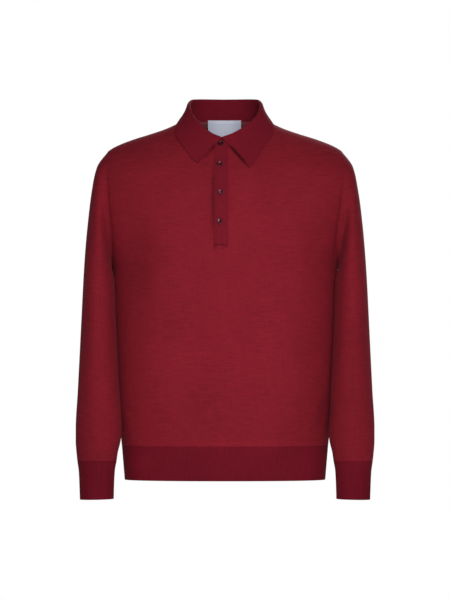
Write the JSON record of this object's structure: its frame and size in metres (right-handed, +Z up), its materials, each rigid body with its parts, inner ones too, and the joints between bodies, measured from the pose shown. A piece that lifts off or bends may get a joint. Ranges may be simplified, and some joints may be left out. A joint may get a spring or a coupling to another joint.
{
  "type": "knit polo sweater",
  "caption": "Long-sleeved fine-knit polo sweater with a fold-over collar and buttoned placket, filled out hollow as if worn, with nobody in it.",
  "frame": {"origin": "middle of the neck, level with the two high points of the shoulders, where the wearer's shoulders hold the sweater up", "axes": "the front faces -Y, +Z is up, and +X is the wearer's left, which is the right when seen from the front"},
  "size_m": [0.5644, 0.2299, 0.7597],
  "materials": {
    "knit": "matte fine knit",
    "rib": "matte fine rib",
    "collar_knit": "matte fine knit",
    "band_knit": "matte fine knit",
    "button": "polished",
    "label": "woven satin"
  },
  "bodies": {
    "root": {"front": "knit", "back": "knit", "sleeve_left": "knit", "sleeve_right": "knit", "cuff_left": "rib", "cuff_right": "rib", "hem_front": "rib", "hem_back": "rib", "collar": "collar_knit", "placket_under": "band_knit", "placket_over": "band_knit", "button_1": "button", "button_2": "button", "button_3": "button", "button_4": "button", "neck_label": "label"}
  },
  "joints": []
}
